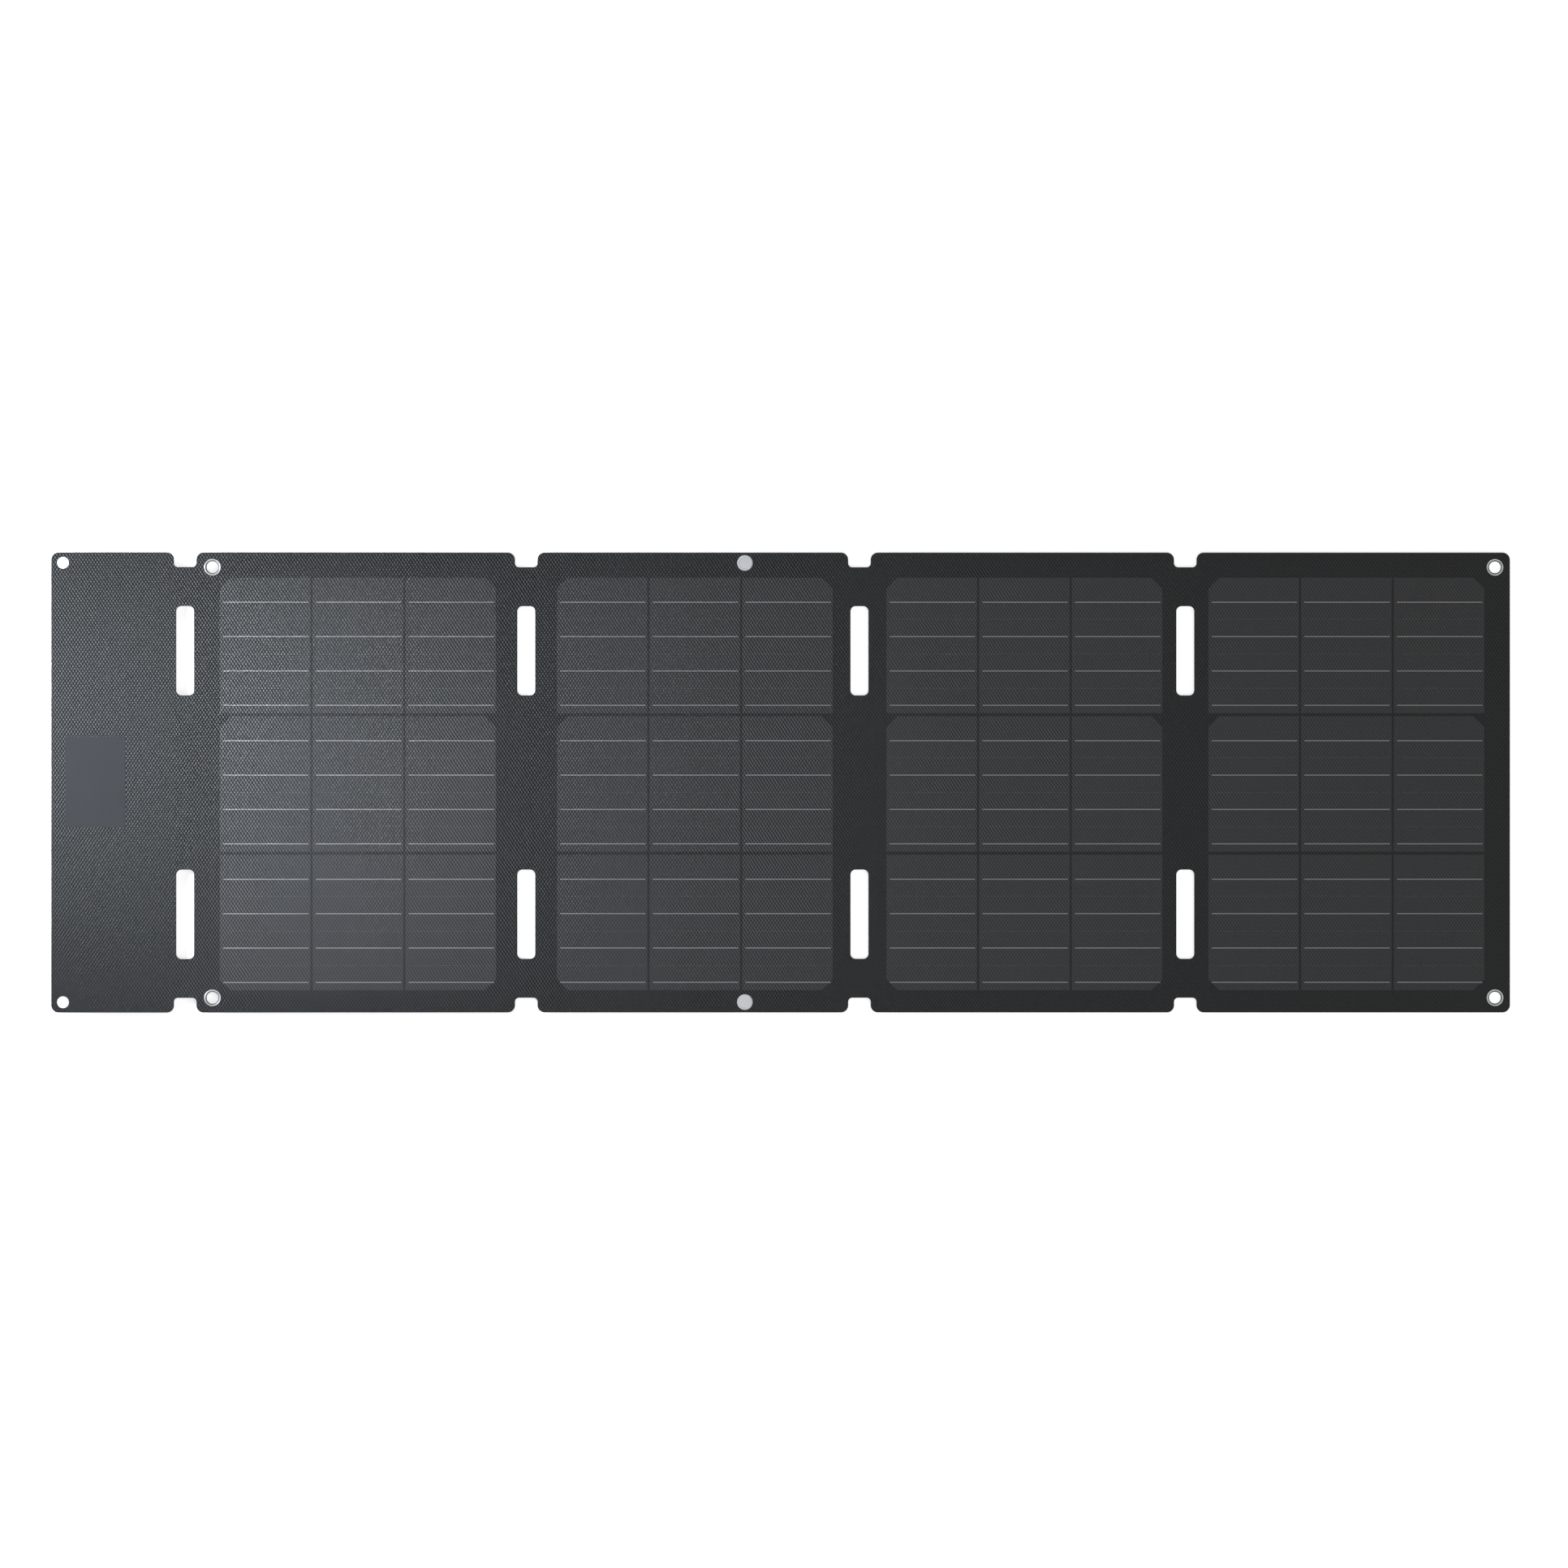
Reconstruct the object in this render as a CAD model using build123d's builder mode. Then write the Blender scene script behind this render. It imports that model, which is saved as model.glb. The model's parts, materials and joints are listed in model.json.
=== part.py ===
from build123d import *
from math import asin, cos, degrees, radians, sin
import os

# Folding solar panel: four cell sections and a narrow flap in one long strip.
# It lies open on the floor with the cells up.  +X runs along the strip from the
# flap to the far section, +Z is up, and the origin is below the middle of it.
# Every sheet is drawn in flat layout coordinates: x from the flap's free edge,
# y from the centre line, z from the sheet's back.  Each body has a plane that
# puts those coordinates where the body lies, so all sketches share one layout.

# Strip outline
LENGTH = 976.5
WIDTH = 308.0
CORNER_RADIUS = 5.0
FOLD_X = {"f": 89.65, "12": 317.8, "23": 540.9, "34": 759.1}

# Half the width of each fold's bending strip: it rises with the number of layers
# that the fold wraps round when the strip is rolled up.  The hinge line of a fold
# is the same distance above the front, midway between the two folded sheets.
BEND_HALF = {"f": 7.25, "12": 5.25, "23": 3.25, "34": 1.0}
WEB_THICKNESS = 0.9
STIFF_MARGIN = {"f": 16.0, "12": 13.5, "23": 11.0, "34": 9.0}
BEND_GAP = 0.3

# Slots and notches on every fold line
SLOT_SIZE = (11.9, 59.7)
SLOT_Y = 88.2
SLOT_RADIUS = 3.4
NOTCH_SIZE = (15.0, 9.84)
NOTCH_OUTER_RADIUS = 4.8
NOTCH_INNER_RADIUS = 2.7

# Layers, from the back
THICKNESS = 3.0
COVER = 0.6
BOARD = 1.0
FILM = 0.6
FLANGE_Z = THICKNESS - FILM - COVER
FILM_Z = THICKNESS - FILM
BOARD_TOP = COVER + BOARD
BOARD_HALF_WIDTH = 140.6
BOARD_CHAMFER = 9.0
TRAY_WALL = 0.6
END_MARGIN = 13.5

# Cells: each is a third of a 182 mm half-cut wafer
CELL_SIZE = (60.6, 90.7)
CELL_GAP = (1.45, 2.04)
CELL_CHAMFER = 7.3
CELL_ROWS = 3
CELL_COLUMNS = 3
CELL_TOP_Y = 137.1
BLOCK_LEFT = {1: 112.8, 2: 338.3, 3: 559.0, 4: 774.6}
CELL_Z = 2.1
CELL_THICKNESS = 0.2
RIBBON_WIDTH = 0.9
RIBBON_THICKNESS = 0.1
RIBBON_FROM_TOP = (16.4, 39.4, 62.4, 85.4)
RIBBON_INSET = (2.2, 1.3)

# Conductors
BUS_WIDTH = 4.0
BUS_THICKNESS = 0.2
LEAD_WIDTH = 5.0
LEAD_THICKNESS = 0.15
LEAD_Y = (-30.0, 30.0)
LEAD_Z = FILM_Z - LEAD_THICKNESS

# Grommets, snaps and the holes of the flap
GROMMET_PLACES = {1: 107.9, 4: 966.5}
GROMMET_Y = 144.1
GROMMET_OUTER = 11.25 / 2
GROMMET_BORE = 7.8 / 2
GROMMET_BARREL = 8.6 / 2
GROMMET_HOLE = 9.0 / 2
GROMMET_RIM = 0.5
SNAP_X = 464.2
SNAP_Y = 147.05
CAP_RADIUS = 10.5 / 2
CAP_HEIGHT = 0.6
STEM_RADIUS = 1.5
STEM_HOLE = 1.7
STUD_RADIUS = 3.2
STUD_NECK = 2.6
FLAP_HOLE_X = 7.9
FLAP_HOLE = 7.9 / 2

# Label plate on the flap
LABEL_X = 29.4
LABEL_Y = 0.7
LABEL_SIZE = (40.2, 60.3)
LABEL_THICKNESS = 0.15
LABEL_RECESS = 0.1

# Junction box on the flap's back
BOX_SIZE = (58.0, 96.0)
BOX_X = 44.0
BOX_DEPTH = 7.0
BOX_RADIUS = 7.0
BOX_WALL = 1.4
BOX_FLOOR = 1.2
BASE_THICKNESS = 1.2
SEAL = 0.4
SEAL_WIDTH = 1.0
PCB_SIZE = (50.0, 70.0)
PCB_THICKNESS = 1.0
PCB_TOP = -1.3
PORT_SIZE = (7.4, 8.94, 3.2)
PORT_Y = (-9.0, 9.0)
PORT_SHELL = 0.35
SCREW_PLACES = (22.5, 41.5)
SCREW_HEAD = 3.6 / 2
SCREW_SHANK = 0.9
BOSS_RADIUS = 2.6
COVER_FLAP_SIZE = (40.0, 4.0)
COVER_FLAP_THICKNESS = 1.4
COVER_FLAP_GAP = 0.3
COVER_HINGE_RADIUS = 1.0
COVER_PIN_RADIUS = 0.5
COVER_PIN_HOLE = 0.58
LUG_RADIUS = 1.6
LUG_THICKNESS = 0.8
LIGHT_RADIUS = 1.25

# The studs and the box stand on the floor, so the first section slopes a little.
STUD_REACH = 2.0
LIFT = STUD_REACH
RISE = BOX_DEPTH - LIFT
SLOPE = degrees(asin(RISE / (FOLD_X["12"] - FOLD_X["f"])))
SLOPING_RUN = FOLD_X["12"] - FOLD_X["f"] - BEND_HALF["12"] - BEND_HALF["f"]
SHORTENING = SLOPING_RUN * (1 - cos(radians(SLOPE)))
CENTRE_X = (LENGTH + SHORTENING) / 2

os.makedirs("parts", exist_ok=True)


def bent(plane, hinge_x, angle):
    """The plane of the sheet left of a hinge line, tipped up about that line."""
    hinge = plane.from_local_coords(Vector(hinge_x, 0, THICKNESS))
    x_dir = plane.x_dir.rotate(Axis.Y, angle)
    z_dir = plane.z_dir.rotate(Axis.Y, angle)
    origin = hinge - x_dir * hinge_x - z_dir * THICKNESS
    return Plane(origin=origin, x_dir=x_dir, z_dir=z_dir)


FLAT = Plane(origin=(-CENTRE_X, 0, LIFT), x_dir=(1, 0, 0), z_dir=(0, 0, 1))
WEB_12 = bent(FLAT, FOLD_X["12"] + BEND_HALF["12"], SLOPE / 2)
SLOPING = bent(WEB_12, FOLD_X["12"] - BEND_HALF["12"], SLOPE / 2)
WEB_F = bent(SLOPING, FOLD_X["f"] + BEND_HALF["f"], -SLOPE / 2)
RAISED = bent(WEB_F, FOLD_X["f"] - BEND_HALF["f"], -SLOPE / 2)
SECTION_PLANE = {1: SLOPING, 2: FLAT, 3: FLAT, 4: FLAT}
WEB_PLANE = {"f": WEB_F, "12": WEB_12, "23": FLAT, "34": FLAT}
SECTION_FOLDS = {1: ("f", "12"), 2: ("12", "23"), 3: ("23", "34"), 4: ("34", None)}


def write(part, name):
    part.label = name
    export_step(part, f"parts/{name}.step")


def cut_fold_openings():
    """Cut the slots and edge notches of all folds out of the open sketch."""
    for fold_x in FOLD_X.values():
        with Locations((fold_x, SLOT_Y), (fold_x, -SLOT_Y)):
            RectangleRounded(*SLOT_SIZE, SLOT_RADIUS, mode=Mode.SUBTRACT)
    with Locations(*[(x, side * WIDTH / 2) for x in FOLD_X.values() for side in (-1, 1)]):
        RectangleRounded(
            NOTCH_SIZE[0], 2 * NOTCH_SIZE[1], NOTCH_INNER_RADIUS, mode=Mode.SUBTRACT
        )


def strip_outline(left, right):
    """Sketch the strip between two x values, with its slots, notches and corners."""
    with Locations((LENGTH / 2, 0)):
        RectangleRounded(LENGTH, WIDTH, CORNER_RADIUS)
    cut_fold_openings()
    mouths = [
        v
        for v in vertices()
        if abs(abs(v.Y) - WIDTH / 2) < 0.01
        and any(abs(abs(v.X - x) - NOTCH_SIZE[0] / 2) < 0.01 for x in FOLD_X.values())
    ]
    fillet(mouths, NOTCH_OUTER_RADIUS)
    with Locations(((left + right) / 2, 0)):
        Rectangle(right - left, WIDTH, mode=Mode.INTERSECT)


def section_span(number):
    """The x range of a section's rigid sheet, between its two bending strips."""
    left_fold, right_fold = SECTION_FOLDS[number]
    left = FOLD_X[left_fold] + BEND_HALF[left_fold] + BEND_GAP / 2
    if right_fold is None:
        return left, LENGTH
    return left, FOLD_X[right_fold] - BEND_HALF[right_fold] - BEND_GAP / 2


def board_span(number):
    """The x range of a section's stiff board."""
    left_fold, right_fold = SECTION_FOLDS[number]
    left = FOLD_X[left_fold] + STIFF_MARGIN[left_fold]
    if right_fold is None:
        return left, LENGTH - END_MARGIN
    return left, FOLD_X[right_fold] - STIFF_MARGIN[right_fold]


def board_outline(left, right, grow=0.0):
    """Sketch a board's outline with cut corners, grown evenly by an offset."""
    tip = BOARD_CHAMFER + grow * 0.5858
    high = BOARD_HALF_WIDTH + grow
    low_x = left - grow
    high_x = right + grow
    Polygon(
        (low_x + tip, high),
        (high_x - tip, high),
        (high_x, high - tip),
        (high_x, -high + tip),
        (high_x - tip, -high),
        (low_x + tip, -high),
        (low_x, -high + tip),
        (low_x, high - tip),
        align=None,
    )


def holes_in(body):
    """The round holes of a body's sheet, as (x, y, radius)."""
    if body == "flap":
        return [(FLAP_HOLE_X, side * SNAP_Y, FLAP_HOLE) for side in (-1, 1)]
    if body in GROMMET_PLACES:
        return [(GROMMET_PLACES[body], side * GROMMET_Y, GROMMET_HOLE) for side in (-1, 1)]
    if body == 2:
        return [(SNAP_X, side * SNAP_Y, STEM_HOLE) for side in (-1, 1)]
    return []


def cut_holes(body):
    for x, y, radius in holes_in(body):
        with Locations((x, y)):
            Circle(radius, mode=Mode.SUBTRACT)


def lead_groove(plane, left, right):
    """Cut the two shallow grooves that carry the leads out to a fold."""
    with BuildSketch(plane.offset(LEAD_Z)) as groove:
        with Locations(*[((left + right) / 2, y) for y in LEAD_Y]):
            Rectangle(right - left, LEAD_WIDTH)
    extrude(groove.sketch, amount=LEAD_THICKNESS, mode=Mode.SUBTRACT)


def lead_runs(number):
    """The x ranges in which a section's leads cross its soft margins."""
    left, right = section_span(number)
    board_left, board_right = board_span(number)
    runs = [(left, board_left)]
    if SECTION_FOLDS[number][1] is not None:
        runs.append((board_right, right))
    return runs


def cell_centres(number):
    """Row, column, x and y of each cell in a section."""
    pitch_x = CELL_SIZE[0] + CELL_GAP[0]
    pitch_y = CELL_SIZE[1] + CELL_GAP[1]
    for row in range(CELL_ROWS):
        for column in range(CELL_COLUMNS):
            x = BLOCK_LEFT[number] + CELL_SIZE[0] / 2 + column * pitch_x
            y = CELL_TOP_Y - CELL_SIZE[1] / 2 - row * pitch_y
            yield row, column, x, y


def cell_cuts(row, column):
    """Which corners of a cell are cut off, as (x side, y side)."""
    side = {0: -1, CELL_COLUMNS - 1: 1}.get(column)
    if side is None:
        return []
    return [(side, -1 if row == CELL_ROWS - 1 else 1)]


def cell_faces(number):
    """Sketch all cells of a section."""
    half_x = CELL_SIZE[0] / 2
    half_y = CELL_SIZE[1] / 2
    for row, column, x, y in cell_centres(number):
        with Locations((x, y)):
            Rectangle(*CELL_SIZE)
        for side_x, side_y in cell_cuts(row, column):
            corner = (x + side_x * half_x, y + side_y * half_y)
            Polygon(
                corner,
                (corner[0] - side_x * CELL_CHAMFER, corner[1]),
                (corner[0], corner[1] - side_y * CELL_CHAMFER),
                align=None,
                mode=Mode.SUBTRACT,
            )


def ribbon_faces(number):
    """Sketch the bright ribbons on the cells of a section."""
    length = CELL_SIZE[0] - sum(RIBBON_INSET)
    shift = (RIBBON_INSET[0] - RIBBON_INSET[1]) / 2
    for _, _, x, y in cell_centres(number):
        top = y + CELL_SIZE[1] / 2
        with Locations(*[(x + shift, top - drop) for drop in RIBBON_FROM_TOP]):
            Rectangle(length, RIBBON_WIDTH)


def bus_faces(number):
    """Sketch the collector strips that run across the rows behind the cells."""
    left = BLOCK_LEFT[number] + 6.0
    right = BLOCK_LEFT[number] + 3 * CELL_SIZE[0] + 2 * CELL_GAP[0] - 6.0
    middle_y = CELL_TOP_Y - 1.5 * CELL_SIZE[1] - CELL_GAP[1]
    with Locations((left, middle_y), (right, middle_y)):
        Rectangle(BUS_WIDTH, 3 * CELL_SIZE[1] - 20.0)


def make_front_film(number):
    plane = SECTION_PLANE[number]
    left, right = section_span(number)
    with BuildPart() as front_film:
        with BuildSketch(plane.offset(FILM_Z)):
            strip_outline(left, right)
            cut_holes(number)
        extrude(amount=FILM)
    write(front_film.part, f"front_film_{number}")


def make_rear_cover(number):
    plane = SECTION_PLANE[number]
    left, right = section_span(number)
    board_left, board_right = board_span(number)
    with BuildPart() as rear_cover:
        with BuildSketch(plane.offset(FLANGE_Z)):
            strip_outline(left, right)
            cut_holes(number)
        extrude(amount=COVER)
        with BuildSketch(plane):
            board_outline(board_left, board_right, TRAY_WALL)
        extrude(amount=FILM_Z)
        with BuildSketch(plane.offset(COVER)):
            board_outline(board_left, board_right)
        extrude(amount=THICKNESS, mode=Mode.SUBTRACT)
        for run_left, run_right in lead_runs(number):
            lead_groove(plane, run_left, run_right)
    write(rear_cover.part, f"rear_cover_{number}")


def make_board(number):
    with BuildPart() as board:
        with BuildSketch(SECTION_PLANE[number].offset(COVER)):
            board_outline(*board_span(number))
        extrude(amount=BOARD)
    write(board.part, f"board_{number}")


def make_encapsulant(number):
    plane = SECTION_PLANE[number]
    with BuildPart() as encapsulant:
        with BuildSketch(plane.offset(BOARD_TOP)):
            board_outline(*board_span(number))
        extrude(amount=FILM_Z - BOARD_TOP)
        with BuildSketch(plane.offset(CELL_Z)):
            cell_faces(number)
        extrude(amount=CELL_THICKNESS + RIBBON_THICKNESS, mode=Mode.SUBTRACT)
        with BuildSketch(plane.offset(CELL_Z + CELL_THICKNESS)):
            ribbon_faces(number)
        extrude(amount=RIBBON_THICKNESS, mode=Mode.SUBTRACT)
        with BuildSketch(plane.offset(BOARD_TOP)):
            bus_faces(number)
        extrude(amount=BUS_THICKNESS, mode=Mode.SUBTRACT)
    write(encapsulant.part, f"encapsulant_{number}")


def make_cells(number):
    with BuildPart() as cells:
        with BuildSketch(SECTION_PLANE[number].offset(CELL_Z)):
            cell_faces(number)
        extrude(amount=CELL_THICKNESS)
    write(cells.part, f"cells_{number}")


def make_ribbons(number):
    with BuildPart() as ribbons:
        with BuildSketch(SECTION_PLANE[number].offset(CELL_Z + CELL_THICKNESS)):
            ribbon_faces(number)
        extrude(amount=RIBBON_THICKNESS)
    write(ribbons.part, f"ribbons_{number}")


def make_bus_bars(number):
    plane = SECTION_PLANE[number]
    with BuildPart() as bus_bars:
        with BuildSketch(plane.offset(BOARD_TOP)):
            bus_faces(number)
        extrude(amount=BUS_THICKNESS)
        for run_left, run_right in lead_runs(number):
            with BuildSketch(plane.offset(LEAD_Z)):
                with Locations(*[((run_left + run_right) / 2, y) for y in LEAD_Y]):
                    Rectangle(run_right - run_left, LEAD_WIDTH)
            extrude(amount=LEAD_THICKNESS)
    write(bus_bars.part, f"bus_bars_{number}")


def make_fold_web(fold):
    """The flexible strip between two sheets: film and cover bonded together."""
    plane = WEB_PLANE[fold]
    reach = BEND_HALF[fold] - BEND_GAP / 2
    left = FOLD_X[fold] - reach
    right = FOLD_X[fold] + reach
    with BuildPart() as fold_web:
        with BuildSketch(plane.offset(THICKNESS - WEB_THICKNESS)):
            strip_outline(left, right)
        extrude(amount=WEB_THICKNESS)
        lead_groove(plane, left, right)
    write(fold_web.part, f"fold_web_{fold}")
    with BuildPart() as fold_leads:
        with BuildSketch(plane.offset(LEAD_Z)):
            with Locations(*[(FOLD_X[fold], y) for y in LEAD_Y]):
                Rectangle(right - left, LEAD_WIDTH)
        extrude(amount=LEAD_THICKNESS)
    write(fold_leads.part, f"fold_leads_{fold}")


def make_grommets(number):
    """Two-piece eyelets: a rimmed barrel from the front and a washer behind it."""
    plane = SECTION_PLANE[number]
    front = THICKNESS + GROMMET_RIM
    washer_z = FLANGE_Z - GROMMET_RIM
    lip = 0.3
    with BuildPart() as grommets:
        for side in (-1, 1):
            place = plane.from_local_coords(Vector(GROMMET_PLACES[number], side * GROMMET_Y, 0))
            profile_plane = Plane(origin=place, x_dir=plane.x_dir, z_dir=Vector(0, -1, 0))
            with BuildSketch(profile_plane):
                with BuildLine():
                    Polyline(
                        (GROMMET_BORE, washer_z - lip),
                        (GROMMET_BARREL + 0.7, washer_z - lip),
                        (GROMMET_BARREL + 0.7, washer_z),
                        (GROMMET_BARREL, washer_z),
                        (GROMMET_BARREL, THICKNESS),
                        (GROMMET_OUTER, THICKNESS),
                        (GROMMET_OUTER - 0.25, front - 0.12),
                        (GROMMET_OUTER - 0.8, front),
                        (GROMMET_BORE + 0.35, front),
                        (GROMMET_BORE, front - 0.35),
                        close=True,
                    )
                make_face()
            revolve(axis=Axis(place, plane.z_dir))
    write(grommets.part, f"grommets_{number}")
    with BuildPart() as washers:
        with BuildSketch(plane.offset(washer_z)):
            with Locations(*[(GROMMET_PLACES[number], s * GROMMET_Y) for s in (-1, 1)]):
                Circle(GROMMET_OUTER)
                Circle(GROMMET_BARREL + 0.05, mode=Mode.SUBTRACT)
        extrude(amount=GROMMET_RIM)
    write(washers.part, f"grommet_washers_{number}")


def make_snaps():
    """Caps on the front of section 2, with studs behind that fit the flap's holes."""
    stem_end = 0.4
    with BuildPart() as snap_caps:
        for side in (-1, 1):
            place = FLAT.from_local_coords(Vector(SNAP_X, side * SNAP_Y, 0))
            with BuildSketch(Plane(origin=place, x_dir=(1, 0, 0), z_dir=(0, -1, 0))):
                with BuildLine():
                    Polyline(
                        (0, stem_end),
                        (STEM_RADIUS, stem_end),
                        (STEM_RADIUS, THICKNESS),
                        (CAP_RADIUS, THICKNESS),
                        (CAP_RADIUS, THICKNESS + 0.2),
                    )
                    ThreePointArc(
                        (CAP_RADIUS, THICKNESS + 0.2),
                        (CAP_RADIUS * 0.86, THICKNESS + 0.44),
                        (CAP_RADIUS * 0.6, THICKNESS + CAP_HEIGHT),
                    )
                    Polyline(
                        (CAP_RADIUS * 0.6, THICKNESS + CAP_HEIGHT),
                        (0, THICKNESS + CAP_HEIGHT),
                        (0, stem_end),
                    )
                make_face()
            revolve(axis=Axis(place, (0, 0, 1)))
    write(snap_caps.part, "snap_caps")
    with BuildPart() as snap_studs:
        for side in (-1, 1):
            place = FLAT.from_local_coords(Vector(SNAP_X, side * SNAP_Y, 0))
            with BuildSketch(Plane(origin=place, x_dir=(1, 0, 0), z_dir=(0, -1, 0))):
                with BuildLine():
                    Polyline(
                        (STEM_RADIUS, FLANGE_Z),
                        (CAP_RADIUS - 0.6, FLANGE_Z),
                        (CAP_RADIUS - 0.6, FLANGE_Z - 0.5),
                        (STUD_NECK, FLANGE_Z - 0.8),
                        (STUD_NECK, -0.6),
                        (STUD_RADIUS, -1.1),
                        (STUD_RADIUS, -1.5),
                        (STUD_NECK, -STUD_REACH),
                        (0, -STUD_REACH),
                        (0, stem_end),
                        (STEM_RADIUS, stem_end),
                        close=True,
                    )
                make_face()
            revolve(axis=Axis(place, (0, 0, 1)))
    write(snap_studs.part, "snap_studs")


FLAP_RIGHT = FOLD_X["f"] - BEND_HALF["f"] - BEND_GAP / 2
FLAP_BOARD = (14.0, FOLD_X["f"] - STIFF_MARGIN["f"])


def make_flap():
    with BuildPart() as front_film:
        with BuildSketch(RAISED.offset(FILM_Z)):
            strip_outline(0, FLAP_RIGHT)
            cut_holes("flap")
        extrude(amount=FILM)
        with BuildSketch(RAISED.offset(THICKNESS - LABEL_RECESS)):
            with Locations((LABEL_X, LABEL_Y)):
                Rectangle(*LABEL_SIZE)
        extrude(amount=LABEL_RECESS, mode=Mode.SUBTRACT)
    write(front_film.part, "front_film_flap")
    with BuildPart() as blank_label:
        with BuildSketch(RAISED.offset(THICKNESS - LABEL_RECESS)):
            with Locations((LABEL_X, LABEL_Y)):
                Rectangle(*LABEL_SIZE)
        extrude(amount=LABEL_THICKNESS)
    write(blank_label.part, "blank_label")
    with BuildPart() as rear_cover:
        with BuildSketch(RAISED.offset(FLANGE_Z)):
            strip_outline(0, FLAP_RIGHT)
            cut_holes("flap")
        extrude(amount=COVER)
        with BuildSketch(RAISED):
            board_outline(*FLAP_BOARD, TRAY_WALL)
        extrude(amount=FILM_Z)
        with BuildSketch(RAISED.offset(COVER)):
            board_outline(*FLAP_BOARD)
        extrude(amount=THICKNESS, mode=Mode.SUBTRACT)
        with BuildSketch(RAISED):
            with Locations(*[(LEAD_ENTRY_X, y) for y in LEAD_Y]):
                Rectangle(LEAD_HOLE, LEAD_WIDTH + 0.6)
        extrude(amount=COVER, mode=Mode.SUBTRACT)
        lead_groove(RAISED, FLAP_BOARD[1], FLAP_RIGHT)
    write(rear_cover.part, "rear_cover_flap")
    with BuildPart() as flap_board:
        with BuildSketch(RAISED.offset(COVER)):
            board_outline(*FLAP_BOARD)
            with Locations(*[(LEAD_ENTRY_X, y) for y in LEAD_Y]):
                Rectangle(LEAD_HOLE, LEAD_WIDTH + 0.6, mode=Mode.SUBTRACT)
        extrude(amount=FILM_Z - COVER)
        with BuildSketch(RAISED.offset(LEAD_Z)):
            with Locations(*[((LEAD_ENTRY_X + FLAP_BOARD[1]) / 2, y) for y in LEAD_Y]):
                Rectangle(FLAP_BOARD[1] - LEAD_ENTRY_X, LEAD_WIDTH)
        extrude(amount=LEAD_THICKNESS, mode=Mode.SUBTRACT)
    write(flap_board.part, "flap_board")


LEAD_HOLE = 1.6
LEAD_ENTRY_X = BOX_X + BOX_SIZE[0] / 2 - 6.0
LEAD_DROP = 0.4


def make_output_leads():
    """Flat leads from the fold along the flap's board and down into the box."""
    lead_left = LEAD_ENTRY_X - LEAD_DROP / 2
    with BuildPart() as output_leads:
        with BuildSketch(RAISED.offset(LEAD_Z)):
            with Locations(*[((lead_left + FLAP_RIGHT) / 2, y) for y in LEAD_Y]):
                Rectangle(FLAP_RIGHT - lead_left, LEAD_WIDTH)
        extrude(amount=LEAD_THICKNESS)
        with BuildSketch(RAISED.offset(PCB_TOP)):
            with Locations(*[(LEAD_ENTRY_X, y) for y in LEAD_Y]):
                Rectangle(LEAD_DROP, LEAD_WIDTH)
        extrude(amount=LEAD_Z - PCB_TOP)
    write(output_leads.part, "output_leads")


def box_outline(shrink=0.0, mode=Mode.ADD):
    with Locations((BOX_X, 0)):
        RectangleRounded(
            BOX_SIZE[0] - 2 * shrink, BOX_SIZE[1] - 2 * shrink, BOX_RADIUS - shrink, mode=mode
        )


def screw_points():
    return [(BOX_X + sx * SCREW_PLACES[0], sy * SCREW_PLACES[1]) for sx in (-1, 1) for sy in (-1, 1)]


BOX_LEFT = BOX_X - BOX_SIZE[0] / 2
PORT_Z = PCB_TOP - PCB_THICKNESS - PORT_SIZE[2] / 2
LIGHT_X = BOX_X - 18.0
LIGHT_Y = 22.0
COVER_HINGE_Y = -COVER_FLAP_SIZE[0] / 2 + COVER_HINGE_RADIUS
COVER_HINGE_X = BOX_LEFT - COVER_FLAP_GAP - COVER_HINGE_RADIUS


def lug_outline():
    """Sketch the ear that holds one end of the port cover's pin."""
    with Locations((COVER_HINGE_X, COVER_HINGE_Y)):
        Circle(LUG_RADIUS)
    with Locations(((COVER_HINGE_X + BOX_LEFT + 1.0) / 2, COVER_HINGE_Y)):
        Rectangle(BOX_LEFT + 1.0 - COVER_HINGE_X, 2 * LUG_RADIUS)


def make_box_base():
    """The box's base plate, bonded to the back of the flap."""
    with BuildPart() as junction_box_base:
        with BuildSketch(RAISED.offset(-BASE_THICKNESS)):
            box_outline()
            lug_outline()
            with Locations(*[(LEAD_ENTRY_X, y) for y in LEAD_Y]):
                Rectangle(LEAD_HOLE, LEAD_WIDTH + 0.6, mode=Mode.SUBTRACT)
            with Locations(*screw_points()):
                Circle(SCREW_SHANK + 0.02, mode=Mode.SUBTRACT)
        extrude(amount=BASE_THICKNESS)
        with BuildSketch(RAISED.offset(-BASE_THICKNESS)):
            with Locations((COVER_HINGE_X, COVER_HINGE_Y)):
                Circle(COVER_PIN_RADIUS)
        extrude(amount=BASE_THICKNESS / 2, mode=Mode.SUBTRACT)
    write(junction_box_base.part, "junction_box_base")
    with BuildPart() as box_gasket:
        with BuildSketch(RAISED.offset(-BASE_THICKNESS - SEAL)):
            box_outline(0.2)
            box_outline(0.2 + SEAL_WIDTH, Mode.SUBTRACT)
        extrude(amount=SEAL)
    write(box_gasket.part, "box_gasket")


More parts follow.
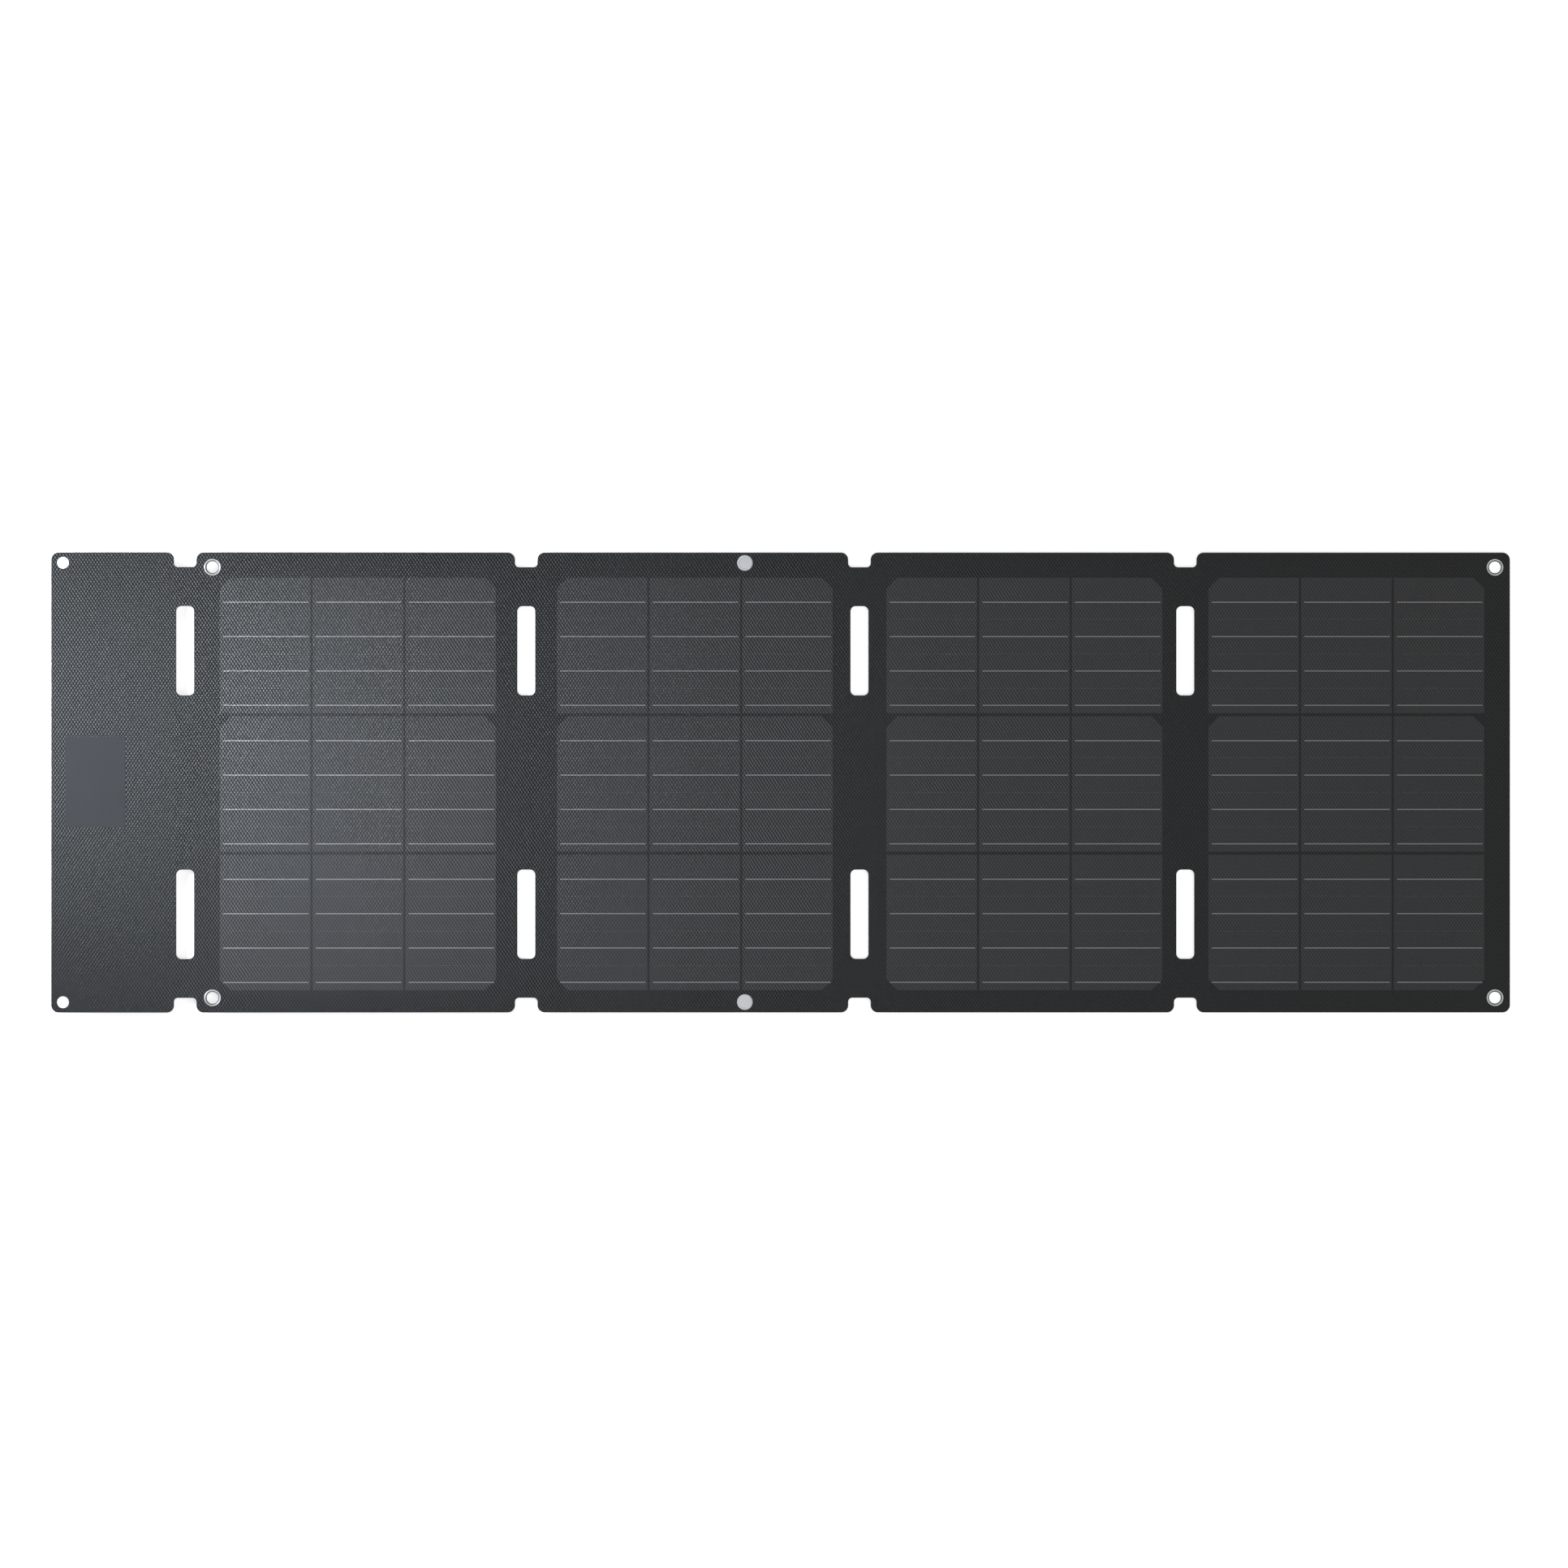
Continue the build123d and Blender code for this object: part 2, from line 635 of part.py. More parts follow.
def make_box_cover():
    """The outer shell of the junction box, with its port mouths and screw wells."""
    wall_top = -BASE_THICKNESS - SEAL
    with BuildPart() as junction_box_cover:
        with BuildSketch(RAISED.offset(-BOX_DEPTH)):
            box_outline()
        extrude(amount=BOX_DEPTH + wall_top)
        fillet(junction_box_cover.edges().group_by(Axis.Z)[0], 1.0)
        with BuildSketch(RAISED.offset(-BOX_DEPTH + BOX_FLOOR)):
            box_outline(BOX_WALL)
        extrude(amount=BOX_DEPTH, mode=Mode.SUBTRACT)
        with BuildSketch(RAISED.offset(-BOX_DEPTH + BOX_FLOOR - 0.1)):
            with Locations(*screw_points()):
                Circle(BOSS_RADIUS)
        extrude(amount=BOX_DEPTH - BOX_FLOOR + 0.1 - BASE_THICKNESS)
        with BuildSketch(RAISED.offset(-BOX_DEPTH)):
            with Locations(*screw_points()):
                Circle(SCREW_HEAD + 0.1)
        extrude(amount=1.6, mode=Mode.SUBTRACT)
        with BuildSketch(RAISED.offset(-BOX_DEPTH)):
            with Locations(*screw_points()):
                Circle(SCREW_SHANK + 0.1)
        extrude(amount=BOX_DEPTH, mode=Mode.SUBTRACT)
        with BuildSketch(RAISED.offset(-BOX_DEPTH)):
            lug_outline()
        extrude(amount=LUG_THICKNESS)
        with BuildSketch(RAISED.offset(-BOX_DEPTH + LUG_THICKNESS / 2)):
            with Locations((COVER_HINGE_X, COVER_HINGE_Y)):
                Circle(COVER_PIN_RADIUS)
        extrude(amount=LUG_THICKNESS, mode=Mode.SUBTRACT)
        mouth = Plane(
            origin=RAISED.from_local_coords(Vector(BOX_LEFT + 3.0, 0, PORT_Z)),
            x_dir=(0, -1, 0),
            z_dir=(-1, 0, 0),
        )
        with BuildSketch(mouth):
            with Locations(*[(-y, 0) for y in PORT_Y]):
                SlotOverall(PORT_SIZE[1] + 0.2, PORT_SIZE[2] + 0.1)
        extrude(amount=6.0, mode=Mode.SUBTRACT)
        with BuildSketch(RAISED.offset(-BOX_DEPTH)):
            with Locations((LIGHT_X, LIGHT_Y)):
                Circle(LIGHT_RADIUS)
        extrude(amount=BOX_FLOOR, mode=Mode.SUBTRACT)
    write(junction_box_cover.part, "junction_box_cover")


def make_box_contents():
    board_bottom = PCB_TOP - PCB_THICKNESS
    with BuildPart() as circuit_board:
        with BuildSketch(RAISED.offset(board_bottom)):
            with Locations((BOX_X, 0)):
                Rectangle(*PCB_SIZE)
        extrude(amount=PCB_THICKNESS)
    write(circuit_board.part, "circuit_board")
    port_start = BOX_LEFT + 0.6
    for index, y in enumerate(PORT_Y, 1):
        mouth = Plane(
            origin=RAISED.from_local_coords(Vector(port_start, y, PORT_Z)),
            x_dir=(0, 1, 0),
            z_dir=(1, 0, 0),
        )
        with BuildPart() as usb_c_port:
            with BuildSketch(mouth):
                SlotOverall(PORT_SIZE[1], PORT_SIZE[2])
            extrude(amount=PORT_SIZE[0])
            with BuildSketch(mouth):
                SlotOverall(PORT_SIZE[1] - 2 * PORT_SHELL, PORT_SIZE[2] - 2 * PORT_SHELL)
            extrude(amount=PORT_SIZE[0] - 1.0, mode=Mode.SUBTRACT)
            with BuildSketch(mouth.offset(1.2)):
                Rectangle(6.6, 0.7)
            extrude(amount=PORT_SIZE[0] - 2.2)
        write(usb_c_port.part, f"usb_c_port_{index}")
    with BuildPart() as inductor:
        with BuildSketch(RAISED.offset(board_bottom - 3.0)):
            with Locations((BOX_X + 6.0, -20.0)):
                RectangleRounded(9.0, 9.0, 1.5)
        extrude(amount=3.0)
    write(inductor.part, "inductor")
    with BuildPart() as regulator_chip:
        with BuildSketch(RAISED.offset(board_bottom - 1.2)):
            with Locations((BOX_X + 4.0, 2.0)):
                Rectangle(8.0, 8.0)
        extrude(amount=1.2)
    write(regulator_chip.part, "regulator_chip")
    with BuildPart() as status_light:
        with BuildSketch(RAISED.offset(-BOX_DEPTH + 0.2)):
            with Locations((LIGHT_X, LIGHT_Y)):
                Circle(LIGHT_RADIUS)
        extrude(amount=BOX_DEPTH - 0.2 + board_bottom)
    write(status_light.part, "status_light")


def make_box_screws():
    head_z = -BOX_DEPTH + 0.3
    with BuildPart() as box_screws:
        with BuildSketch(RAISED.offset(head_z)):
            with Locations(*screw_points()):
                Circle(SCREW_HEAD)
        extrude(amount=1.3)
        with BuildSketch(RAISED.offset(head_z)):
            with Locations(*screw_points()):
                RegularPolygon(0.9, 6, mode=Mode.ADD)
        extrude(amount=0.8, mode=Mode.SUBTRACT)
        with BuildSketch(RAISED.offset(head_z + 1.3)):
            with Locations(*screw_points()):
                Circle(SCREW_SHANK)
        extrude(amount=-head_z - 1.3 - 0.1)
    write(box_screws.part, "box_screws")



def make_port_cover():
    """The rubber cover of the ports, on a pin at one end like a small door."""
    plate_x = BOX_LEFT - COVER_FLAP_GAP - COVER_FLAP_THICKNESS / 2
    plate_length = COVER_FLAP_SIZE[0] - COVER_HINGE_RADIUS
    low = PORT_Z - COVER_FLAP_SIZE[1] / 2
    pin_low = -BOX_DEPTH + LUG_THICKNESS / 2
    with BuildPart() as port_cover:
        with BuildSketch(RAISED.offset(low)):
            with Locations((plate_x, COVER_HINGE_Y + plate_length / 2)):
                Rectangle(COVER_FLAP_THICKNESS, plate_length)
            with Locations((COVER_HINGE_X, COVER_HINGE_Y)):
                Circle(COVER_HINGE_RADIUS)
                Circle(COVER_PIN_HOLE, mode=Mode.SUBTRACT)
        extrude(amount=COVER_FLAP_SIZE[1])
    write(port_cover.part, "port_cover")
    with BuildPart() as cover_pin:
        with BuildSketch(RAISED.offset(pin_low)):
            with Locations((COVER_HINGE_X, COVER_HINGE_Y)):
                Circle(COVER_PIN_RADIUS)
        extrude(amount=-pin_low - BASE_THICKNESS / 2)
    write(cover_pin.part, "cover_pin")


make_flap()
make_output_leads()
make_box_base()
make_box_cover()
make_box_contents()
make_box_screws()
make_port_cover()
for fold_name in FOLD_X:
    make_fold_web(fold_name)
for section in SECTION_PLANE:
    make_front_film(section)
    make_rear_cover(section)
    make_board(section)
    make_encapsulant(section)
    make_cells(section)
    make_ribbons(section)
    make_bus_bars(section)
for section in GROMMET_PLACES:
    make_grommets(section)
make_snaps()

print("slope", SLOPE)
for fold_name, fold_x in FOLD_X.items():
    hinge_point = Vector(fold_x, 0, THICKNESS + BEND_HALF[fold_name])
    print("hinge", fold_name, WEB_PLANE[fold_name].from_local_coords(hinge_point))
print("cover hinge", RAISED.from_local_coords(Vector(COVER_HINGE_X, COVER_HINGE_Y, PORT_Z)))
for section, grommet_x in GROMMET_PLACES.items():
    top = Vector(grommet_x, GROMMET_Y, THICKNESS + GROMMET_RIM)
    print("grommet", section, SECTION_PLANE[section].from_local_coords(top))
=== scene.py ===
"""Looks of a folding solar panel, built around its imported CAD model.

Everything flat is drawn in layout coordinates, in millimetres: x from the flap's
free edge along the strip, y from the centre line, z from a sheet's back.  A Lay
object turns them into the row frame, in metres, for the body that a piece is on.
"""

import json
from math import asin, cos, hypot, pi, radians, sin

import bmesh
import bpy
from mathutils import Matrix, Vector


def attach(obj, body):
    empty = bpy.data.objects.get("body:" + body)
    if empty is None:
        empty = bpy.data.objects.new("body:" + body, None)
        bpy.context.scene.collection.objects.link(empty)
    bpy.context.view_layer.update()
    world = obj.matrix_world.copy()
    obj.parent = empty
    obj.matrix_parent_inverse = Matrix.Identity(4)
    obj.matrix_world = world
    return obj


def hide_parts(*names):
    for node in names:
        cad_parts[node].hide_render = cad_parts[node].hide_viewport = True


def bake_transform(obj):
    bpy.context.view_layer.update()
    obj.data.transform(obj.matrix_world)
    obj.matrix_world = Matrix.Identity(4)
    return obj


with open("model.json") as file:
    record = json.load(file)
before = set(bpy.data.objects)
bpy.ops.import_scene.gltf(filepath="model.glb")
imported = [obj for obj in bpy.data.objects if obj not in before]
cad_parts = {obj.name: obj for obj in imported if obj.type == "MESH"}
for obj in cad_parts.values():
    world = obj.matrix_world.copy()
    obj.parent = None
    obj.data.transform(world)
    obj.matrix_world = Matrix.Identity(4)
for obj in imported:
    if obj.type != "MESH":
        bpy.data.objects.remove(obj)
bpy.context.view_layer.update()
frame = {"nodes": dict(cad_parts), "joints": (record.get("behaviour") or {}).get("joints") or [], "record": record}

MM = 0.001

# Strip layout, in millimetres
LENGTH = 976.5
HALF_WIDTH = 154.0
CORNER_RADIUS = 5.0
FOLD_X = {"f": 89.65, "12": 317.8, "23": 540.9, "34": 759.1}
BEND_HALF = {"f": 7.25, "12": 5.25, "23": 3.25, "34": 1.0}
SLOT_HALF_WIDTH = 5.95
SLOT_HALF_LENGTH = 29.85
SLOT_Y = 88.2
SLOT_RADIUS = 3.4
NOTCH_HALF_WIDTH = 7.5
NOTCH_DEPTH = 9.84
NOTCH_OUTER_RADIUS = 4.8
NOTCH_INNER_RADIUS = 2.7
FRONT = 3.0
RISE = 5.0
FILM_BACK = 2.38
WEB_BACK = 2.06
EDGE_ROUND = 0.22
SAME = 1e-4
CUTS_PER_MM = 4
FEWEST_CUTS = 10

# Cells, ribbons and solder pads, in millimetres
CELL_SIZE = (60.6, 90.7)
CELL_GAP = (1.45, 2.04)
CELL_CHAMFER = 7.3
CELL_TOP_Y = 137.1
CELL_ROWS = 3
CELL_COLUMNS = 3
CELL_DEPTH = 0.3
BLOCK_LEFT = {1: 112.8, 2: 338.3, 3: 559.0, 4: 774.6}
CELL_RAISE = 0.03
RIBBON_RAISE = 0.06
BED_RAISE = 0.045
BED_WIDTH = 1.7
FINGER_RAISE = 0.04
PAD_RAISE = 0.05
RIBBON_WIDTH = 0.85
RIBBON_DROPS = (16.4, 39.4, 62.4, 85.4)
RIBBON_INSET = (2.2, 1.3)
PAD_DROPS = (4.75, 27.7, 51.1, 74.1)
PAD_PLACES = (4.5, 17.9, 30.6, 41.7, 52.7)
PAD_SIZE = (1.1, 1.3)
FINGER_WIDTH = 0.35

# Fittings, in millimetres
GROMMET_PLACES = {1: 107.9, 4: 966.5}
GROMMET_Y = 144.1
GROMMET_HOLE_RADIUS = 4.4
EYELET_BORE = 3.9
EYELET_RIM = 5.62
EYELET_LIFT = 0.05
EYELET_BEAD = 0.42
# Radii of the eyelet throat, which is painted dark as shade
EYELET_SHADE_RADII = (3.92, 4.62)
SNAP_X = 464.2
SNAP_Y = 147.05
SNAP_RADIUS = 5.25
SNAP_BEAD = 0.22
SNAP_STEM_RADIUS = 1.5
FLAP_HOLE_X = 7.9
FLAP_HOLE_RADIUS = 3.95
LATHE_STEPS = 72

# Emboss of the front film, in millimetres
DOT_PITCH = 2.16
DOT_ROW = 1.62
DOT_DEPTH = 0.46
DOT_LEAN = 0.12

# Weave of the rear fabric, in millimetres
WEAVE_PITCH = 0.62
WEAVE_DEPTH = 0.12

# Noise scales of the materials, in cycles per metre
FILM_CLOUD = 45.0
FILM_GRAIN = 2500.0
FABRIC_CLOUD = 60.0
PLASTIC_CLOUD = 80.0
PLASTIC_GRAIN = 2200.0
METAL_GRAIN = 900.0

# Stage, in metres
FLOOR_HALF_SIZE = 6.0
FLOOR_DROP = 0.0003
FLOOR_COLOR = (0.86, 0.86, 0.86, 1)
FLOOR_GLOW = 0.72
WORLD_GLOW = 0.10
CAMERA_DISTANCE = 6.0
CAMERA_PLACE = (0.0021, -0.0010, CAMERA_DISTANCE + 0.005)
VIEW_WIDTH = 1.050
SENSOR = 36.0


class Lay:
    """Where a sheet lies at rest: layout millimetres to the row frame."""

    def __init__(self, point, layout_x, along, height=FRONT):
        self.along = along.normalized()
        self.up = self.along.cross(Vector((0, 1, 0)))
        self.origin = point - self.along * layout_x * MM - self.up * height * MM

    def at(self, x, y, z):
        return self.origin + self.along * x * MM + Vector((0, y * MM, 0)) + self.up * z * MM


def fold_lays():
    """Each bending strip's lay, from its hinge line midway between the folded sheets."""
    axes = {"fold_flap": "f", "fold_12": "12", "fold_23": "23", "fold_34": "34"}
    points = {axes[j["name"]]: Vector(j["pos_m"]) for j in frame["joints"] if j["name"] in axes}
    level = Vector((1, 0, 0))
    slope = SLOPE / 2
    tilted = Vector((cos(slope), 0, -sin(slope)))
    tilts = {"f": tilted, "12": tilted, "23": level, "34": level}
    return {
        fold: Lay(point, FOLD_X[fold], tilts[fold], FRONT + BEND_HALF[fold])
        for fold, point in points.items()
    }


SLOPE = asin(RISE / (FOLD_X["12"] - FOLD_X["f"]))
FOLD_LAYS = fold_lays()


def lay_beside(fold, side, along):
    """The lay of the sheet on one side of a bending strip."""
    edge = FOLD_X[fold] + side * BEND_HALF[fold]
    return Lay(FOLD_LAYS[fold].at(edge, 0, FRONT), edge, along)


LEVEL = Vector((1, 0, 0))
LAYS = {
    "flap": lay_beside("f", -1, LEVEL),
    "section_1": lay_beside("12", -1, Vector((cos(SLOPE), 0, -sin(SLOPE)))),
    "section_2": lay_beside("12", 1, LEVEL),
    "section_3": lay_beside("23", 1, LEVEL),
    "section_4": lay_beside("34", 1, LEVEL),
}


# ---------------------------------------------------------------- materials


class Nodes:
    """A small helper that adds and links shader nodes."""

    def __init__(self, name):
        self.material = bpy.data.materials.new(name)
        self.material.use_nodes = True
        self.tree = self.material.node_tree
        self.tree.nodes.clear()
        self.output = self.tree.nodes.new("ShaderNodeOutputMaterial")
        self.shader = self.tree.nodes.new("ShaderNodeBsdfPrincipled")
        self.tree.links.new(self.shader.outputs[0], self.output.inputs[0])

    def put(self, socket, value):
        if isinstance(value, bpy.types.NodeSocket):
            self.tree.links.new(value, socket)
        elif value is not None:
            socket.default_value = value

    def math(self, operation, a, b=None, c=None):
        node = self.tree.nodes.new("ShaderNodeMath")
        node.operation = operation
        for socket, value in zip(node.inputs, (a, b, c)):
            self.put(socket, value)
        return node.outputs[0]

    def layout(self):
        """Rest coordinates in the flat layout, in metres."""
        node = self.tree.nodes.new("ShaderNodeAttribute")
        node.attribute_name = "layout"
        return node.outputs["Vector"]

    def object_point(self):
        return self.tree.nodes.new("ShaderNodeTexCoord").outputs["Object"]

    def split(self, vector):
        node = self.tree.nodes.new("ShaderNodeSeparateXYZ")
        self.put(node.inputs[0], vector)
        return node.outputs[0], node.outputs[1], node.outputs[2]

    def noise(self, vector, scale, detail=3.0, roughness=0.55):
        node = self.tree.nodes.new("ShaderNodeTexNoise")
        self.put(node.inputs["Vector"], vector)
        node.inputs["Scale"].default_value = scale
        node.inputs["Detail"].default_value = detail
        node.inputs["Roughness"].default_value = roughness
        return node.outputs[0]

    def ramp(self, value, low, high, out_low, out_high):
        node = self.tree.nodes.new("ShaderNodeMapRange")
        self.put(node.inputs["Value"], value)
        ends = {"From Min": low, "From Max": high, "To Min": out_low, "To Max": out_high}
        for key, number in ends.items():
            node.inputs[key].default_value = number
        return node.outputs[0]

    def mix(self, factor, first, second):
        node = self.tree.nodes.new("ShaderNodeMix")
        node.data_type = "RGBA"
        self.put(node.inputs["Factor"], factor)
        self.put(node.inputs[6], first if isinstance(first, bpy.types.NodeSocket) else (*first, 1))
        self.put(node.inputs[7], second if isinstance(second, bpy.types.NodeSocket) else (*second, 1))
        return node.outputs[2]

    def bump(self, height, depth_mm):
        node = self.tree.nodes.new("ShaderNodeBump")
        node.inputs["Strength"].default_value = 1.0
        node.inputs["Distance"].default_value = depth_mm * MM
        self.put(node.inputs["Height"], height)
        return node.outputs[0]

    def set(self, **values):
        for key, value in values.items():
            self.put(self.shader.inputs[key.replace("_", " ")], value)
        return self.material


def emboss(nodes):
    """Height, from 0 to 1, and normal of staggered dots joined a little on one diagonal."""
    x, y, _ = nodes.split(nodes.layout())
    across = nodes.math("MULTIPLY", x, 2 * pi / (DOT_PITCH * MM))
    down = nodes.math("MULTIPLY", y, pi / (DOT_ROW * MM))
    falling = nodes.math("ADD", across, down)
    rising = nodes.math("SUBTRACT", across, down)
    falling_share = (1 + DOT_LEAN) / 4
    rising_share = (1 - DOT_LEAN) / 4
    height = nodes.math(
        "ADD",
        nodes.math("MULTIPLY_ADD", nodes.math("COSINE", falling), falling_share, 0.5),
        nodes.math("MULTIPLY", nodes.math("COSINE", rising), rising_share),
    )
    falling_slope = nodes.math("MULTIPLY", nodes.math("SINE", falling), falling_share)
    rising_slope = nodes.math("MULTIPLY", nodes.math("SINE", rising), rising_share)
    slope_x = nodes.math("ADD", falling_slope, rising_slope)
    slope_y = nodes.math("SUBTRACT", falling_slope, rising_slope)
    lean = nodes.tree.nodes.new("ShaderNodeCombineXYZ")
    nodes.put(lean.inputs[0], nodes.math("MULTIPLY", slope_x, 2 * pi / DOT_PITCH * DOT_DEPTH))
    nodes.put(lean.inputs[1], nodes.math("MULTIPLY", slope_y, pi / DOT_ROW * DOT_DEPTH))
    lean.inputs[2].default_value = 1.0
    unit = nodes.tree.nodes.new("ShaderNodeVectorMath")
    unit.operation = "NORMALIZE"
    nodes.put(unit.inputs[0], lean.outputs[0])
    packed = nodes.tree.nodes.new("ShaderNodeVectorMath")
    packed.operation = "MULTIPLY_ADD"
    nodes.put(packed.inputs[0], unit.outputs[0])
    packed.inputs[1].default_value = (0.5, 0.5, 0.5)
    packed.inputs[2].default_value = (0.5, 0.5, 0.5)
    turned = nodes.tree.nodes.new("ShaderNodeNormalMap")
    turned.uv_map = "layout_plane"
    nodes.put(turned.inputs["Color"], packed.outputs[0])
    return height, turned.outputs[0]


def film_material(name, color, roughness, valley_shade=0.6, shade=0.08, strength=1.0):
    """A surface seen through the embossed front film, its colour darkened between the dots as painted shade."""
    nodes = Nodes(name)
    height, normal = emboss(nodes)
    normal.node.inputs["Strength"].default_value = strength
    cloud = nodes.noise(nodes.layout(), FILM_CLOUD, 4.0)
    low = tuple(c * (1 - shade) for c in color)
    high = tuple(c * (1 + shade) for c in color)
    tint = nodes.mix(cloud, low, high)
    # Painted shade: the colour is darkened where the emboss is low, between the dots.
    tint = nodes.mix(height, tuple(c * valley_shade for c in color), tint)
    fine = nodes.noise(nodes.layout(), FILM_GRAIN, 2.0)
    rough = nodes.ramp(fine, 0.3, 0.7, roughness - 0.04, roughness + 0.04)
    return nodes.set(Base_Color=tint, Roughness=rough, Normal=normal, Specular_IOR_Level=0.5)


def fabric_material():
    """Dense coated weave on the back of the strip."""
    nodes = Nodes("rear_fabric")
    point = nodes.object_point()
    x, y, _ = nodes.split(point)
    turns = 2 * pi / (WEAVE_PITCH * MM)
    warp = nodes.math("SINE", nodes.math("MULTIPLY", x, turns))
    weft = nodes.math("SINE", nodes.math("MULTIPLY", y, turns))
    weave = nodes.math("MULTIPLY", warp, weft)
    height = nodes.math("ADD", nodes.math("MULTIPLY", weave, 0.5), 0.5)
    cloud = nodes.noise(point, FABRIC_CLOUD, 5.0)
    tint = nodes.mix(cloud, (0.012, 0.0125, 0.014), (0.022, 0.0225, 0.025))
    nodes.set(Base_Color=tint, Roughness=0.72, Normal=nodes.bump(height, WEAVE_DEPTH))
    nodes.shader.inputs["Sheen Weight"].default_value = 0.15
    return nodes.material


def plastic_material(name, color, roughness, depth=0.04):
    """Moulded plastic with a fine grain of the given depth in millimetres."""
    nodes = Nodes(name)
    point = nodes.object_point()
    speck = nodes.noise(point, PLASTIC_GRAIN, 3.0)
    cloud = nodes.noise(point, PLASTIC_CLOUD, 3.0)
    tint = nodes.mix(cloud, tuple(c * 0.88 for c in color), tuple(c * 1.12 for c in color))
    rough = nodes.ramp(speck, 0.3, 0.7, roughness - 0.06, roughness + 0.06)
    return nodes.set(Base_Color=tint, Roughness=rough, Normal=nodes.bump(speck, depth))


def metal_material(name, color, roughness, metallic=1.0):
    """Metal whose roughness and tint vary a little over the surface."""
    nodes = Nodes(name)
    point = nodes.object_point()
    scratch = nodes.noise(point, METAL_GRAIN, 4.0)
    rough = nodes.ramp(scratch, 0.3, 0.7, roughness * 0.7, roughness * 1.3)
    tint = nodes.mix(scratch, tuple(c * 0.94 for c in color), color)
    return nodes.set(
        Base_Color=tint, Metallic=metallic, Roughness=rough, Normal=nodes.bump(scratch, 0.01)
    )


# The valley factors below set how much painted shade darkens each surface between the dots.
FILM = film_material("front_film", (0.0300, 0.0310, 0.0332), 0.50, valley_shade=0.45)
CELL = film_material("cell_under_film", (0.0750, 0.0765, 0.0800), 0.48, valley_shade=0.5)
RIBBON = film_material("ribbon_under_film", (0.30, 0.295, 0.31), 0.36, valley_shade=0.85, strength=0.6)
BORDER = film_material("border_under_film", (0.046, 0.047, 0.050), 0.48, valley_shade=0.5)
FINGER = film_material("finger_under_film", (0.112, 0.113, 0.118), 0.46, valley_shade=0.6)
PAD = film_material("pad_under_film", (0.065, 0.066, 0.069), 0.36, shade=0.2)
FABRIC = fabric_material()
LABEL = plastic_material("label_plate", (0.030, 0.0305, 0.034), 0.8, depth=0.004)
BOX = plastic_material("box_plastic", (0.022, 0.0225, 0.024), 0.5)
RUBBER = plastic_material("port_rubber", (0.014, 0.014, 0.015), 0.75, depth=0.03)
BOARD = plastic_material("board_laminate", (0.05, 0.07, 0.05), 0.4)
RESIN = plastic_material("encapsulant", (0.6, 0.61, 0.6), 0.3)
CIRCUIT = plastic_material("circuit_mask", (0.012, 0.07, 0.035), 0.3)
PART = plastic_material("moulded_component", (0.02, 0.02, 0.02), 0.45)
LIGHT_PIPE = plastic_material("light_pipe", (0.7, 0.76, 0.74), 0.35)
COPPER = metal_material("tinned_copper", (0.75, 0.52, 0.38), 0.35)
STEEL = metal_material("steel", (0.62, 0.63, 0.65), 0.3)
EYELET = metal_material("plated_eyelet", (0.92, 0.93, 0.95), 0.42, metallic=0.7)
# A dark metal painted on the eyelet throat as shade
THROAT_SHADE_METAL = metal_material("eyelet_throat_painted_shade", (0.16, 0.165, 0.17), 0.5, metallic=0.5)
CAP = metal_material("snap_metal", (0.95, 0.965, 0.99), 0.5, metallic=0.1)

SLOT_MATERIAL = {
    "front_film": FILM,
    "rear_fabric": FABRIC,
    "glass_fibre": BOARD,
    "encapsulant": RESIN,
    "silicon": CELL,
    "tinned_ribbon": STEEL,
    "copper": COPPER,
    "plated_metal": EYELET,
    "steel": STEEL,
    "label": LABEL,
    "box_plastic": BOX,
    "rubber": RUBBER,
    "circuit_board": CIRCUIT,
    "electronics": PART,
    "light_pipe": LIGHT_PIPE,
}


def dress_cad_nodes():
    """Give every carried-over CAD node the material of its slot in the record."""
    for row in frame["record"]["subparts"]:
        node = frame["nodes"][row["node"]]
        node.data.materials.clear()
        node.data.materials.append(SLOT_MATERIAL[row["material_slot"]])


# ---------------------------------------------------------------- geometry


def arc(cx, cy, radius, start, end, steps=8):
    """Points of an arc in the layout plane, angles in degrees."""
    angles = [radians(start + (end - start) * i / steps) for i in range(steps + 1)]
    return [(cx + radius * cos(a), cy + radius * sin(a)) for a in angles]


def top_notch(fold_x):
    """The upper edge through one notch, from left to right."""
    mouth = NOTCH_HALF_WIDTH + NOTCH_OUTER_RADIUS
    inner = NOTCH_HALF_WIDTH - NOTCH_INNER_RADIUS
    shoulder = HALF_WIDTH - NOTCH_OUTER_RADIUS
    floor = HALF_WIDTH - NOTCH_DEPTH + NOTCH_INNER_RADIUS
    return (
        arc(fold_x - mouth, shoulder, NOTCH_OUTER_RADIUS, 90, 0)
        + arc(fold_x - inner, floor, NOTCH_INNER_RADIUS, 180, 270)
        + arc(fold_x + inner, floor, NOTCH_INNER_RADIUS, 270, 360)
        + arc(fold_x + mouth, shoulder, NOTCH_OUTER_RADIUS, 180, 90)
    )


def strip_outline():
    """The whole strip's closed outline."""
    high = HALF_WIDTH - CORNER_RADIUS
    top = arc(CORNER_RADIUS, high, CORNER_RADIUS, 180, 90)
    for fold_x in FOLD_X.values():
        top += top_notch(fold_x)
    top += arc(LENGTH - CORNER_RADIUS, high, CORNER_RADIUS, 90, 0)
    return top + [(x, -y) for x, y in reversed(top)]


def rounded_slot(cx, cy):
    dx = SLOT_HALF_WIDTH - SLOT_RADIUS
    dy = SLOT_HALF_LENGTH - SLOT_RADIUS
    corners = ((1, 1, 0), (-1, 1, 90), (-1, -1, 180), (1, -1, 270))
    points = []
    for sx, sy, start in corners:
        points += arc(cx + sx * dx, cy + sy * dy, SLOT_RADIUS, start, start + 90)
    return points


def circle(cx, cy, radius, steps=48):
    return arc(cx, cy, radius, 0, 360 * (steps - 1) / steps, steps - 1)


